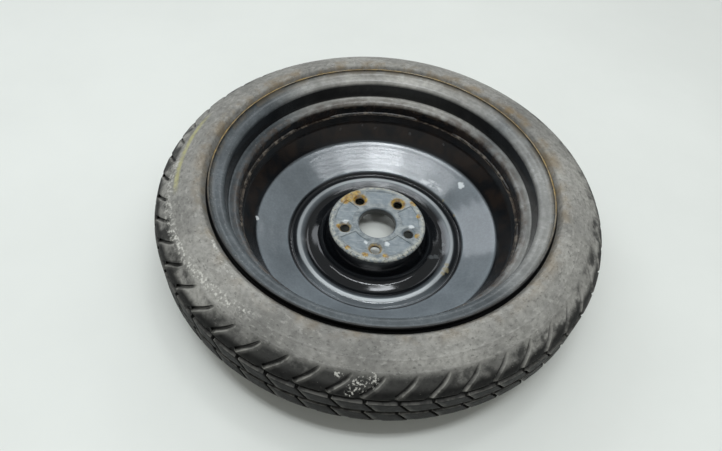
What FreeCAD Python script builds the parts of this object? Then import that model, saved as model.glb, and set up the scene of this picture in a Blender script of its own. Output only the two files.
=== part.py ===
# Compact spare wheel: a pressed steel disc welded into a rolled steel rim, a tyre and a tyre valve.
# Origin at the centre of the hub mounting face, +Z along the wheel's axis towards the hub side, in mm.
import FreeCAD, Part
import math
import os
import re

import Sketcher
from FreeCAD import Placement, Rotation, Vector

SIZES = {
    # rim: rolled section, measured on the tyre's side
    "wheel_offset": 40.0,
    "rim_width": 101.6,
    "rim_gauge": 2.4,
    "bead_radius": 218.3,
    "seat_taper": 5.0,
    "heel_round": 6.5,
    "flange_height": 18.7,
    "flange_curl": 9.5,
    "flange_edge": 0.7,
    "inner_seat": 31.1,
    "outer_seat": 23.8,
    "well_depth": 16.0,
    "well_round": 5.0,
    "valve_slope": 34.0,
    # disc: pressed section, measured on the hub side, from the pad outwards
    "disc_gauge": 3.5,
    "skirt_top": 39.6,
    "skirt_break": 24.0,
    "shoulder_run": 16.9,
    "shoulder_drop": 3.6,
    "cone_drop": 29.9,
    "valley_run": 5.5,
    "valley_depth": 6.6,
    "valley_round": 4.0,
    "ridge_run": 11.0,
    "ridge_rise": 6.0,
    "ridge_inner_round": 5.5,
    "dish_run": 15.0,
    "dish_depth": 7.5,
    "dish_width": 23.0,
    "dish_round": 12.0,
    "pad_radius": 72.0,
    "pad_flare": 8.0,
    "press_round": 8.0,
    "bend_inner_round": 1.5,
    "bore_radius": 28.05,
    "bore_inner_round": 0.5,
    "collar_depth": 12.0,
    # lug holes, with a relief on the hub side and a conical nut seat on the outer side
    "lug_count": 5.0,
    "lug_circle": 100.0,
    "lug_clock": 56.6,
    "lug_throat": 6.9,
    "lug_relief": 10.6,
    "relief_depth": 3.9,
    "throat_length": 1.6,
    "seat_angle": 30.0,
    "boss_depth": 10.0,
    "boss_base": 15.5,
    "boss_tip": 11.6,
    "recess_width": 24.0,
    "recess_depth": 1.2,
    "recess_span": 40.0,
    # fillet welds that hold the disc's skirt in the well
    "weld_count": 6.0,
    "weld_span": 42.0,
    "weld_leg": 3.2,
    # tyre, heights from the bead seat outwards
    "section_height": 92.2,
    "tyre_width": 126.0,
    "shoulder_fall": 7.0,
    "shoulder_reach": 36.0,
    "shoulder_round": 20.0,
    "flank_height": 62.7,
    "flank_reach": 52.5,
    "flank_round": 60.0,
    "belly_height": 37.7,
    "belly_round": 25.0,
    "tread_gauge": 12.5,
    "side_gauge": 8.0,
    "bead_width": 20.8,
    "bead_round": 6.5,
    "lip_gap": 1.2,
    "lip_cover": 5.0,
    # tread pattern
    "pitch_count": 50.0,
    "groove_depth": 4.5,
    "groove_top": 7.0,
    "groove_floor": 4.5,
    "groove_spread": 25.0,
    "slit_width": 7.0,
    "slit_tip": 3.5,
    "slit_sweep": 13.0,
    "slit_tilt": 45.0,
    "slit_reach": 31.0,
    "slit_depth": 2.2,
    "rib_width": 4.0,
    "rib_sweep": 6.0,
    # snap-in rubber valve, heights along its axis from the rim's tyre-side face
    "valve_hole": 5.75,
    "valve_flange": 8.0,
    "valve_foot": 5.5,
    "valve_bulge": 7.0,
    "valve_neck": 5.2,
    "rubber_end": 22.0,
    "stem_foot": 4.0,
    "stem_shank": 3.2,
    "thread_radius": 3.85,
    "stem_thread": 11.2,
    "stem_bore": 2.0,
    "core_thread": 2.6,
    "seat_depth": 9.7,
    "seat_length": 1.5,
    # valve core
    "core_sink": 0.6,
    "core_tail": 3.5,
    "core_head": 5.1,
    "core_neck": 1.6,
    "core_bore": 1.15,
    "core_floor": 1.0,
    "core_play": 0.15,
    "pin_radius": 0.6,
    "pin_proud": 0.3,
    "collar_length": 0.6,
    "cup_radius": 1.5,
    "cup_length": 1.4,
    "seal_length": 1.6,
    "spring_wire": 0.2,
    "spring_length": 5.0,
    "spring_turns": 6.0,
    # screw cap
    "cap_side": 0.85,
    "cap_play": 0.3,
    "cap_gap": 2.0,
    "cap_seal": 0.8,
    "cap_wall": 1.6,
    "cap_ribs": 18.0,
    "cap_rib_depth": 0.35,
}

# Heights and radii that several pieces share, as formulas of the sizes above.
INNER_FLANGE = "(wheel_offset + rim_width / 2)"
OUTER_FLANGE = "(wheel_offset - rim_width / 2)"
LIP_RADIUS = "(bead_radius + flange_height)"
FLANGE_DEPTH = "(flange_curl + flange_edge)"
INNER_TOE = f"({INNER_FLANGE} - inner_seat)"
OUTER_TOE = f"({OUTER_FLANGE} + outer_seat)"
INNER_TOE_RADIUS = "(bead_radius - inner_seat * tan(seat_taper))"
OUTER_TOE_RADIUS = "(bead_radius - outer_seat * tan(seat_taper))"
WELL_RADIUS = "(bead_radius - well_depth)"
WELL_BOTTOM = f"({OUTER_TOE} + ({OUTER_TOE_RADIUS} - {WELL_RADIUS}) * tan(valve_slope))"
WELL_INSIDE = f"({WELL_RADIUS} - rim_gauge)"
VALVE_RADIUS = f"(({OUTER_TOE_RADIUS} + {WELL_RADIUS}) / 2)"
VALVE_HEIGHT = f"(({OUTER_TOE} + {WELL_BOTTOM}) / 2)"
SKIRT_INSIDE = f"({WELL_INSIDE} - disc_gauge)"
SHOULDER_RADIUS = f"({SKIRT_INSIDE} - shoulder_run)"
DISH_INNER = "(pad_radius + pad_flare)"
DISH_OUTER = f"({DISH_INNER} + dish_width)"
RIDGE_RADIUS = f"({DISH_OUTER} + dish_run)"
VALLEY_RADIUS = f"({RIDGE_RADIUS} + ridge_run)"
CONE_RADIUS = f"({VALLEY_RADIUS} + valley_run)"
VALLEY_DROP = "(cone_drop + valley_depth)"
RIDGE_DROP = f"({VALLEY_DROP} - ridge_rise)"
DISH_DROP = f"({RIDGE_DROP} + dish_depth)"
TYRE_RADIUS = "(bead_radius + section_height)"
FLANK_RADIUS = "(bead_radius + flank_height)"
BELLY_RADIUS = "(bead_radius + belly_height)"
STEM_END = "(rubber_end + stem_thread)"
CORE_TOP = f"({STEM_END} - core_sink)"
CORE_SEAT = f"({STEM_END} - seat_depth)"
CORE_FOOT = f"({CORE_SEAT} - core_tail)"
SPRING_BASE = f"({CORE_FOOT} + core_floor)"
PIN_COLLAR = f"({SPRING_BASE} + spring_length)"
CAP_RADIUS = "(thread_radius + cap_play + cap_side)"
CAP_CEILING = f"({STEM_END} + cap_play + cap_seal)"

# The side of its path on which each sheet's thickness lies.
RIM_SIDE = -1
DISC_SIDE = 1

doc = FreeCAD.newDocument("SpareWheel")
sheet = doc.addObject("Spreadsheet::Sheet", "Sizes")
for row, (alias, value) in enumerate(SIZES.items(), start=1):
    sheet.set(f"A{row}", alias)
    sheet.set(f"B{row}", str(value))
    sheet.setAlias(f"B{row}", alias)
doc.recompute()


def bound(formula):
    """The formula with each size written as a cell of the sheet."""
    return re.sub(r"[a-z]\w*", lambda m: f"Sizes.{m[0]}" if m[0] in SIZES else m[0], str(formula))


def number(formula):
    """The formula's present value."""
    return float(sheet.evalExpression(str(formula)))


def bind(thing, **formulas):
    """Tie properties to the sheet; a double underscore in a name stands for a dot."""
    for name, formula in formulas.items():
        thing.setExpression(name.replace("__", "."), bound(formula))


def draw_profile(sketch, corners, closed=True):
    """Add straight runs through corners (x, y, round), each round a tangent arc, all tied to the sheet."""
    points = [Vector(number(x), number(y), 0) for x, y, _ in corners]
    rounds = [number(r) if r else 0.0 for _, _, r in corners]
    count = len(corners)
    first = sketch.GeometryCount
    runs = count if closed else count - 1
    ends = [[None, None] for _ in range(runs)]
    arcs = {}
    for i, (point, radius) in enumerate(zip(points, rounds)):
        before = (i - 1) % count
        ends_open = not closed and i in (0, count - 1)
        start = finish = point
        if radius and not ends_open:
            back = (points[before] - point).normalize()
            ahead = (points[(i + 1) % count] - point).normalize()
            half = back.getAngle(ahead) / 2
            start = point + back * (radius / math.tan(half))
            finish = point + ahead * (radius / math.tan(half))
            centre = point + (back + ahead).normalize() * (radius / math.sin(half))
            turns_left = back.cross(ahead).z < 0
            low, high = (start, finish) if turns_left else (finish, start)
            from_angle = math.atan2(low.y - centre.y, low.x - centre.x)
            to_angle = math.atan2(high.y - centre.y, high.x - centre.x)
            if to_angle < from_angle:
                to_angle += 2 * math.pi
            circle = Part.Circle(centre, Vector(0, 0, 1), radius)
            arcs[i] = (Part.ArcOfCircle(circle, from_angle, to_angle), turns_left)
        if closed or i > 0:
            ends[before][1] = start
        if closed or i < count - 1:
            ends[i][0] = finish
    sketch.addGeometry([Part.LineSegment(a, b) for a, b in ends], False)
    arc_ids = {i: first + runs + k for k, i in enumerate(arcs)}
    sketch.addGeometry([arc for arc, _ in arcs.values()], False)
    point_ids = [first + runs + len(arcs) + i for i in range(count)]
    sketch.addGeometry([Part.Point(p) for p in points], True)
    rules = []
    for i in range(count):
        before, ahead = first + (i - 1) % count, first + i
        if not closed and i == count - 1:
            rules.append(Sketcher.Constraint("Coincident", point_ids[i], 1, before, 2))
        elif not closed and i == 0:
            rules.append(Sketcher.Constraint("Coincident", point_ids[i], 1, ahead, 1))
        elif i in arcs:
            enter, leave = (1, 2) if arcs[i][1] else (2, 1)
            rules.append(Sketcher.Constraint("Tangent", before, 2, arc_ids[i], enter))
            rules.append(Sketcher.Constraint("Tangent", arc_ids[i], leave, ahead, 1))
            rules.append(Sketcher.Constraint("PointOnObject", point_ids[i], 1, before))
            rules.append(Sketcher.Constraint("PointOnObject", point_ids[i], 1, ahead))
        else:
            rules.append(Sketcher.Constraint("Coincident", before, 2, ahead, 1))
            rules.append(Sketcher.Constraint("Coincident", point_ids[i], 1, ahead, 1))
    sketch.addConstraint(rules)
    for i, (x, y, r) in enumerate(corners):
        drive(sketch, Sketcher.Constraint("DistanceX", -1, 1, point_ids[i], 1, points[i].x), x)
        drive(sketch, Sketcher.Constraint("DistanceY", -1, 1, point_ids[i], 1, points[i].y), y)
        if i in arcs:
            drive(sketch, Sketcher.Constraint("Radius", arc_ids[i], rounds[i]), r)


def drive(sketch, rule, formula):
    """Add one dimension and tie it to the sheet."""
    index = sketch.addConstraint(rule)
    sketch.setExpression(f"Constraints[{index}]", bound(formula))


def new_body(label):
    body = doc.addObject("PartDesign::Body", label)
    body.Label = label
    return body


def datum(body, role):
    """One of the body's own origin planes or axes."""
    return next(feature for feature in body.Origin.OriginFeatures if feature.Role == role)


def body_sketch(body, name, role="XZ_Plane", offset=None):
    sketch = body.newObject("Sketcher::SketchObject", name)
    sketch.AttachmentSupport = [(datum(body, role), "")]
    sketch.MapMode = "FlatFace"
    if offset:
        sketch.AttachmentOffset = offset
    return sketch


def turned(body, kind, name, sketch, axis="V_Axis"):
    """A revolved feature, adding or cutting, about an axis of its sketch."""
    feature = body.newObject(f"PartDesign::{kind}", name)
    feature.Profile = sketch
    feature.ReferenceAxis = (sketch, [axis])
    feature.Angle = 360
    return feature


def repeated(body, name, originals, count):
    """A full-circle pattern of features about the body's own Z axis."""
    pattern = body.newObject("PartDesign::PolarPattern", name)
    pattern.Originals = originals
    pattern.Axis = (datum(body, "Z_Axis"), [""])
    pattern.Angle = 360
    bind(pattern, Occurrences=count)
    body.Tip = pattern
    return pattern


def pressed_sheet(name, path, gauge, side):
    """A sheet of one gauge spun about Z: an open path, thickened to one side of it and revolved."""
    sketch = doc.addObject("Sketcher::SketchObject", f"{name}_path")
    sketch.Placement = Placement(Vector(), Rotation(Vector(1, 0, 0), 90))
    draw_profile(sketch, path, closed=False)
    doc.recompute()
    section = doc.addObject("Part::Offset2D", f"{name}_section")
    section.Source = sketch
    section.Mode = "Skin"
    section.Join = "Arc"
    section.Fill = True
    bind(section, Value=f"{gauge} * {side}")
    blank = doc.addObject("Part::Revolution", f"{name}_blank")
    blank.Source = section
    blank.Axis = Vector(0, 0, 1)
    blank.Angle = 360
    blank.Solid = True
    doc.recompute()
    return blank


def place_on_valve_axis(thing):
    """Local +Z runs along the valve, out of the rim, from the middle of the rim's valve slope."""
    thing.Placement = Placement(Vector(), Rotation(Vector(0, 1, 0), 180))
    bind(thing, Placement__Base__x=VALVE_RADIUS, Placement__Base__z=VALVE_HEIGHT)
    bind(thing, Placement__Rotation__Angle="180 + valve_slope")


def make_rim():
    path = [
        (LIP_RADIUS, f"{INNER_FLANGE} + {FLANGE_DEPTH}", None),
        (LIP_RADIUS, INNER_FLANGE, "flange_curl"),
        ("bead_radius", INNER_FLANGE, "heel_round"),
        (INNER_TOE_RADIUS, INNER_TOE, "well_round"),
        (WELL_RADIUS, INNER_TOE, "well_round"),
        (WELL_RADIUS, WELL_BOTTOM, "well_round"),
        (OUTER_TOE_RADIUS, OUTER_TOE, "well_round"),
        ("bead_radius", OUTER_FLANGE, "heel_round"),
        (LIP_RADIUS, OUTER_FLANGE, "flange_curl"),
        (LIP_RADIUS, f"{OUTER_FLANGE} - {FLANGE_DEPTH}", None),
    ]
    blank = pressed_sheet("rim", path, "rim_gauge", RIM_SIDE)
    drill = doc.addObject("Part::Cylinder", "valve_drill")
    overrun = "(valve_hole + rim_gauge)"
    bind(drill, Radius="valve_hole", Height=f"2 * {overrun}")
    place_on_valve_axis(drill)
    bind(drill, Placement__Base__x=f"{VALVE_RADIUS} + {overrun} * sin(valve_slope)")
    bind(drill, Placement__Base__z=f"{VALVE_HEIGHT} + {overrun} * cos(valve_slope)")
    rim = doc.addObject("Part::Cut", "rim")
    rim.Base = blank
    rim.Tool = drill
    return rim


def make_disc():
    path = [
        (SKIRT_INSIDE, "skirt_top", None),
        (SKIRT_INSIDE, "skirt_break", "press_round"),
        (SHOULDER_RADIUS, "-shoulder_drop", "press_round"),
        (CONE_RADIUS, "-cone_drop", "disc_gauge + bend_inner_round"),
        (VALLEY_RADIUS, f"-{VALLEY_DROP}", "valley_round"),
        (RIDGE_RADIUS, f"-{RIDGE_DROP}", "disc_gauge + ridge_inner_round"),
        (DISH_OUTER, f"-{DISH_DROP}", "dish_round"),
        (DISH_INNER, f"-{DISH_DROP}", "dish_round"),
        ("pad_radius", "0", "disc_gauge + bend_inner_round"),
        ("bore_radius", "0", "disc_gauge + bore_inner_round"),
        ("bore_radius", "-collar_depth", None),
    ]
    blank = pressed_sheet("disc", path, "disc_gauge", DISC_SIDE)
    body = new_body("disc")
    body.BaseFeature = blank
    doc.recompute()
    axis_x = "lug_circle / 2"
    boss_sketch = body_sketch(body, "lug_boss_section")
    draw_profile(boss_sketch, [
        (axis_x, "-disc_gauge / 2", None),
        (f"{axis_x} + boss_base", "-disc_gauge / 2", None),
        (f"{axis_x} + boss_base", "-disc_gauge", None),
        (f"{axis_x} + boss_tip", "-boss_depth", None),
        (axis_x, "-boss_depth", None),
    ])
    boss = turned(body, "Revolution", "lug_boss", boss_sketch, lug_axis(boss_sketch))
    hole_sketch = body_sketch(body, "lug_hole_section")
    throat_end = "(relief_depth + throat_length)"
    overrun = "disc_gauge"
    relief_slope = "(lug_relief - lug_throat) / relief_depth"
    draw_profile(hole_sketch, [
        (axis_x, overrun, None),
        (f"{axis_x} + lug_relief + {overrun} * {relief_slope}", overrun, None),
        (f"{axis_x} + lug_throat", "-relief_depth", None),
        (f"{axis_x} + lug_throat", f"-{throat_end}", None),
        (f"{axis_x} + lug_throat + boss_depth * tan(seat_angle)", f"-{throat_end} - boss_depth", None),
        (axis_x, f"-{throat_end} - boss_depth", None),
    ])
    hole = turned(body, "Groove", "lug_hole", hole_sketch, lug_axis(hole_sketch))
    recess_turn = Placement(Vector(), Rotation(Vector(0, 1, 0), 180 / number("lug_count")))
    recess_sketch = body_sketch(body, "pad_recess_section", offset=recess_turn)
    bind(recess_sketch, AttachmentOffset__Rotation__Angle="180 / lug_count")
    recess_inner = f"{axis_x} - recess_width / 2"
    recess_outer = f"{axis_x} + recess_width / 2"
    draw_profile(recess_sketch, [
        (recess_inner, "-recess_depth", None),
        (recess_outer, "-recess_depth", None),
        (f"{recess_outer} + 2 * recess_depth", "recess_depth", None),
        (f"{recess_inner} - 2 * recess_depth", "recess_depth", None),
    ])
    recess = turned(body, "Groove", "pad_recess", recess_sketch)
    recess.Midplane = True
    bind(recess, Angle="recess_span")
    doc.recompute()
    repeated(body, "lug_pattern", [boss, hole, recess], "lug_count")
    body.Placement = Placement(Vector(), Rotation(Vector(0, 0, 1), number("lug_clock")))
    bind(body, Placement__Rotation__Angle="lug_clock")
    return body


def lug_axis(sketch):
    """A construction line down the first lug hole; returns its name as an axis of the sketch."""
    line = sketch.addGeometry(Part.LineSegment(Vector(number("lug_circle / 2"), 0, 0),
                                               Vector(number("lug_circle / 2"), 1, 0)), True)
    sketch.addConstraint(Sketcher.Constraint("Vertical", line))
    sketch.addConstraint(Sketcher.Constraint("PointOnObject", line, 1, -1))
    drive(sketch, Sketcher.Constraint("DistanceX", -1, 1, line, 1, number("lug_circle / 2")), "lug_circle / 2")
    drive(sketch, Sketcher.Constraint("DistanceY", line, 1, line, 2, 1), "disc_gauge")
    return "Axis0"


def make_welds():
    body = new_body("disc_welds")
    body.AllowCompound = True
    sketch = body_sketch(body, "bead_section")
    draw_profile(sketch, [
        (WELL_INSIDE, "skirt_top", None),
        (WELL_INSIDE, "skirt_top + weld_leg", None),
        (f"{WELL_INSIDE} - weld_leg", "skirt_top", None),
    ])
    bead = turned(body, "Revolution", "weld_bead", sketch)
    bind(bead, Angle="weld_span")
    doc.recompute()
    repeated(body, "weld_pattern", [bead], "weld_count")
    return body


def tyre_section():
    """Corners of the tyre's section, up the outside of each half and back along the inside."""
    half = "(tyre_width / 2)"
    flange = "rim_width / 2"
    outside = [
        (TYRE_RADIUS, "groove_spread", None),
        (f"{TYRE_RADIUS} - shoulder_fall", "shoulder_reach", "shoulder_round"),
        (FLANK_RADIUS, "flank_reach", "flank_round"),
        (BELLY_RADIUS, half, "belly_round"),
        (f"{LIP_RADIUS} + lip_gap + lip_cover", f"{half} - lip_gap", "side_gauge"),
        (f"{LIP_RADIUS} + lip_gap", f"{flange} + {FLANGE_DEPTH} - lip_gap", "lip_gap"),
        (f"{LIP_RADIUS} + lip_gap", flange, "bead_round"),
        ("bead_radius", flange, "heel_round"),
        ("bead_radius - bead_width * tan(seat_taper)", f"{flange} - bead_width", None),
    ]
    inside = [
        ("bead_radius + flange_height / 2", f"{flange} - bead_width", "side_gauge"),
        (f"{LIP_RADIUS} + side_gauge", f"{half} - 2 * side_gauge", "2 * side_gauge"),
        (BELLY_RADIUS, f"{half} - side_gauge", "2 * side_gauge"),
        (f"{FLANK_RADIUS} - side_gauge", "flank_reach - side_gauge", "2 * side_gauge"),
        (f"{TYRE_RADIUS} - tread_gauge", "groove_spread", "2 * side_gauge"),
    ]
    upper = [(x, f"wheel_offset + ({y})", r) for x, y, r in outside + inside]
    lower = [(x, f"wheel_offset - ({y})", r) for x, y, r in reversed(outside + inside)]
    return upper + lower


def tread_plane(body, name, height, radius, tilt):
    """A sketch facing the tread from outside: x along the tread, y across it, its middle at this place."""
    sketch = body_sketch(body, name, "YZ_Plane", Placement(Vector(), Rotation(Vector(1, 0, 0), 1)))
    bind(sketch, AttachmentOffset__Base__y=f"wheel_offset + {height}")
    bind(sketch, AttachmentOffset__Base__z=radius)
    bind(sketch, AttachmentOffset__Rotation__Angle=tilt)
    return sketch


def tread_cut(body, name, sketch, depth):
    cut = body.newObject("PartDesign::Pocket", name)
    cut.Profile = sketch
    cut.Type = "Length"
    bind(cut, Length=depth)
    return cut


def make_tyre():
    body = new_body("tyre")
    section = body_sketch(body, "tyre_section")
    draw_profile(section, tyre_section())
    turned(body, "Revolution", "carcass", section)
    doc.recompute()
    grooves = body_sketch(body, "groove_sections")
    floor = f"{TYRE_RADIUS} - groove_depth"
    top = f"{TYRE_RADIUS} + groove_depth"
    flare = "(groove_top + (groove_top - groove_floor)) / 2"
    for side in ("-groove_spread", "0", "groove_spread"):
        middle = f"wheel_offset + {side}"
        draw_profile(grooves, [
            (floor, f"{middle} - groove_floor / 2", None),
            (top, f"{middle} - {flare}", None),
            (top, f"{middle} + {flare}", None),
            (floor, f"{middle} + groove_floor / 2", None),
        ])
    turned(body, "Groove", "rain_grooves", grooves)
    doc.recompute()
    cuts = []
    slit_rise = "(groove_spread + slit_reach / 2 * cos(slit_tilt) + groove_depth * sin(slit_tilt))"
    slit_radius = f"{TYRE_RADIUS} - slit_reach / 2 * sin(slit_tilt) + groove_depth * cos(slit_tilt)"
    for name, sign in (("inner", 1), ("outer", -1)):
        slit = tread_plane(
            body, f"{name}_slit_outline", f"{sign} * {slit_rise}", slit_radius, f"{-sign} * slit_tilt")
        draw_profile(slit, [
            (f"{sign} * (-slit_sweep - slit_width / 2)", f"{sign} * (-slit_reach / 2)", None),
            (f"{sign} * (-slit_sweep + slit_width / 2)", f"{sign} * (-slit_reach / 2)", None),
            (f"{sign} * (slit_sweep + slit_tip / 2)", f"{sign} * slit_reach / 2", None),
            (f"{sign} * (slit_sweep - slit_tip / 2)", f"{sign} * slit_reach / 2", None),
        ])
        cuts.append(tread_cut(body, f"{name}_slit", slit, "groove_depth + slit_depth"))
        rib = tread_plane(
            body, f"{name}_rib_outline", f"{sign} * groove_spread / 2", f"{TYRE_RADIUS} + groove_depth", "0")
        draw_profile(rib, [
            ("rib_sweep - rib_width / 2", "-groove_spread / 2", None),
            ("rib_sweep + rib_width / 2", "-groove_spread / 2", None),
            ("-rib_sweep + rib_width / 2", "groove_spread / 2", None),
            ("-rib_sweep - rib_width / 2", "groove_spread / 2", None),
        ])
        cuts.append(tread_cut(body, f"{name}_rib", rib, "2 * groove_depth"))
    doc.recompute()
    repeated(body, "tread_pattern", cuts, "pitch_count")
    return body


def valve_piece(label, corners):
    """A piece turned about the valve's axis from (radius, height) corners."""
    body = new_body(label)
    sketch = body_sketch(body, f"{label}_section")
    draw_profile(sketch, corners)
    turned(body, "Revolution", f"{label}_turning", sketch)
    place_on_valve_axis(body)
    return body


def make_valve_body(rim):
    blank = valve_piece("valve_rubber_blank", [
        ("stem_bore", "-valve_foot", None),
        ("valve_hole - rim_gauge / 2", "-valve_foot", "rim_gauge / 2"),
        ("valve_flange", "-rim_gauge / 2", None),
        ("valve_flange", "rim_gauge / 4", None),
        ("valve_hole", "rim_gauge / 4", None),
        ("valve_hole", "rim_gauge * 3 / 4", None),
        ("valve_bulge", "rim_gauge * 3 / 4", None),
        ("valve_bulge", "2 * rim_gauge", "rim_gauge"),
        ("valve_neck", "rubber_end", "rim_gauge / 2"),
        ("stem_shank", "rubber_end", None),
        ("stem_shank", "stem_foot", None),
        ("stem_bore", "stem_foot", None),
    ])
    rubber = doc.addObject("Part::Cut", "valve_rubber")
    rubber.Base = blank
    rubber.Tool = rim
    return rubber


def make_valve_stem():
    return valve_piece("valve_stem", [
        ("stem_bore", "stem_foot", None),
        ("stem_shank", "stem_foot", None),
        ("stem_shank", "rubber_end", None),
        ("thread_radius", "rubber_end", None),
        ("thread_radius", f"{STEM_END} - seat_length / 2", None),
        ("thread_radius - seat_length / 3", STEM_END, None),
        ("core_thread", STEM_END, None),
        ("core_thread", f"{CORE_SEAT} + seat_length", None),
        ("stem_bore", CORE_SEAT, None),
    ])


def make_core():
    hole = "pin_radius + core_play"
    barrel = valve_piece("core_barrel", [
        (hole, CORE_FOOT, None),
        ("core_neck", CORE_FOOT, None),
        ("core_neck", f"{CORE_TOP} - core_head", None),
        ("core_thread", f"{CORE_TOP} - core_head", None),
        ("core_thread", CORE_TOP, None),
        ("core_bore", CORE_TOP, None),
        ("core_bore", SPRING_BASE, None),
        (hole, SPRING_BASE, None),
    ])
    taper = "(core_thread - stem_bore) / seat_length"
    seal_base = f"{CORE_SEAT} + core_play"
    seal_top = f"{CORE_SEAT} + seat_length - core_play"
    barrel_seal = valve_piece("core_barrel_seal", [
        ("core_neck", seal_base, None),
        (f"stem_bore + core_play * {taper}", seal_base, None),
        (f"stem_bore + (seat_length - core_play) * {taper}", seal_top, None),
        ("core_neck", seal_top, None),
    ])
    cup_top = f"{CORE_FOOT} - seal_length"
    collar_radius = "core_bore - core_play"
    pin_top = f"{CORE_TOP} + pin_proud"
    pin = valve_piece("core_pin", [
        ("0", f"{cup_top} - cup_length", None),
        ("cup_radius", f"{cup_top} - cup_length", None),
        ("cup_radius", cup_top, None),
        ("pin_radius", cup_top, None),
        ("pin_radius", PIN_COLLAR, None),
        (collar_radius, PIN_COLLAR, None),
        (collar_radius, f"{PIN_COLLAR} + collar_length", None),
        ("pin_radius", f"{PIN_COLLAR} + collar_length", None),
        ("pin_radius", pin_top, None),
        ("0", pin_top, None),
    ])
    pin_seal = valve_piece("core_pin_seal", [
        ("pin_radius", cup_top, None),
        ("cup_radius", cup_top, None),
        ("cup_radius", CORE_FOOT, None),
        ("pin_radius", CORE_FOOT, None),
    ])
    return [barrel, barrel_seal, pin, pin_seal, make_spring()]


def make_spring():
    """A coil round the pin, from the barrel's floor to the pin's collar."""
    body = new_body("core_spring")
    sketch = body_sketch(body, "wire_section")
    inside = "(pin_radius + core_bore - spring_wire) / 2"
    draw_profile(sketch, [
        (inside, SPRING_BASE, None),
        (f"{inside} + spring_wire", SPRING_BASE, None),
        (f"{inside} + spring_wire", f"{SPRING_BASE} + spring_wire", None),
        (inside, f"{SPRING_BASE} + spring_wire", None),
    ])
    coil = body.newObject("PartDesign::AdditiveHelix", "coil")
    coil.Profile = sketch
    coil.ReferenceAxis = (sketch, ["V_Axis"])
    coil.Mode = "height-turns-angle"
    bind(coil, Height="spring_length - spring_wire", Turns="spring_turns")
    place_on_valve_axis(body)
    return body


def make_cap():
    body = new_body("valve_cap")
    sketch = body_sketch(body, "cap_section")
    bore = "thread_radius + cap_play"
    top = f"{CAP_CEILING} + cap_wall"
    draw_profile(sketch, [
        (bore, "rubber_end + cap_gap", None),
        (CAP_RADIUS, "rubber_end + cap_gap", None),
        (CAP_RADIUS, top, "cap_wall / 2"),
        ("0", top, None),
        ("0", CAP_CEILING, None),
        (bore, CAP_CEILING, None),
    ])
    turned(body, "Revolution", "cap_turning", sketch)
    doc.recompute()
    flute = body_sketch(body, "grip_flute_outline", "XY_Plane")
    circle = Part.Circle(Vector(number(CAP_RADIUS), 0, 0), Vector(0, 0, 1), number("cap_rib_depth"))
    ring = flute.addGeometry(circle, False)
    drive(flute, Sketcher.Constraint("Radius", ring, number("cap_rib_depth")), "cap_rib_depth")
    flute.addConstraint(Sketcher.Constraint("PointOnObject", ring, 3, -1))
    drive(flute, Sketcher.Constraint("DistanceX", -1, 1, ring, 3, number(CAP_RADIUS)), CAP_RADIUS)
    cut = body.newObject("PartDesign::Pocket", "grip_flute")
    cut.Profile = flute
    cut.Type = "Length"
    cut.Reversed = True
    bind(cut, Length=CAP_CEILING)
    doc.recompute()
    repeated(body, "grip_flutes", [cut], "cap_ribs")
    place_on_valve_axis(body)
    seal = valve_piece("cap_seal", [
        ("0", f"{STEM_END} + cap_play", None),
        ("thread_radius", f"{STEM_END} + cap_play", None),
        ("thread_radius", CAP_CEILING, None),
        ("0", CAP_CEILING, None),
    ])
    return [body, seal]


rim = make_rim()
pieces = [rim, make_disc(), make_welds(), make_tyre(), make_valve_body(rim), make_valve_stem()]
pieces += make_core()
pieces += make_cap()
doc.recompute()

failed = [o.Name for o in doc.Objects if {"Invalid", "Error"} & set(o.State)]
failed += [p.Label for p in pieces if p.Shape.isNull() or not p.Shape.isValid()]
if failed:
    raise RuntimeError(f"not built: {sorted(set(failed))}")

os.makedirs("parts", exist_ok=True)
for piece in pieces:
    piece.Shape.exportStep(os.path.join("parts", f"{piece.Label}.step"))
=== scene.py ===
"""Compact spare wheel lying outer face down on a pale floor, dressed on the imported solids."""
import math

import bpy
from mathutils import Matrix, Quaternion, Vector
from mathutils.kdtree import KDTree


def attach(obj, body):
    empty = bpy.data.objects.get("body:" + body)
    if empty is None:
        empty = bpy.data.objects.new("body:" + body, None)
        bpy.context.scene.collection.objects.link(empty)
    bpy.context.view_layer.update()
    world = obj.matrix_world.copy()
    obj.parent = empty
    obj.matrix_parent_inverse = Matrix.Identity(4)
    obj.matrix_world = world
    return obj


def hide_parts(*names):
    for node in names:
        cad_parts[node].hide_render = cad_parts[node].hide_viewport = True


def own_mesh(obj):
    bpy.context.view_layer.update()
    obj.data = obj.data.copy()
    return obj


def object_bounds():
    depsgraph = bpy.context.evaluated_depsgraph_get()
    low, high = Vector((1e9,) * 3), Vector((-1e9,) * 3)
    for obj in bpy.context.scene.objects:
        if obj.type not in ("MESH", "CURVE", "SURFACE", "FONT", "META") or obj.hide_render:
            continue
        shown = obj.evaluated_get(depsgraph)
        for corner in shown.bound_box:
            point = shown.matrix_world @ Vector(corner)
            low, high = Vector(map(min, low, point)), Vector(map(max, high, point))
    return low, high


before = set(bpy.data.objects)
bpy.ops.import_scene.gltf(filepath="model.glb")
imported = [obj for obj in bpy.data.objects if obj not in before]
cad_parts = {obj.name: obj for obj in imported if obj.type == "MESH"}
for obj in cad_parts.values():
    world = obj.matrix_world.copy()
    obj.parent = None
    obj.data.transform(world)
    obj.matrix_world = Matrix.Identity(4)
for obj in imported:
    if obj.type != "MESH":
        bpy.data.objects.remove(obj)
cad_low, cad_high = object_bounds()
MM = 0.001


# Helpers for materials


def hex_colour(code):
    """An sRGB hex value as a linear colour."""
    parts = [int(code[i:i + 2], 16) / 255 for i in (0, 2, 4)]
    return tuple(c / 12.92 if c <= 0.04045 else ((c + 0.055) / 1.055) ** 2.4 for c in parts) + (1.0,)


def per(size_mm):
    """The texture scale at which one cell of a pattern is this many millimetres wide."""
    return 1 / (size_mm * MM)


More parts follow.
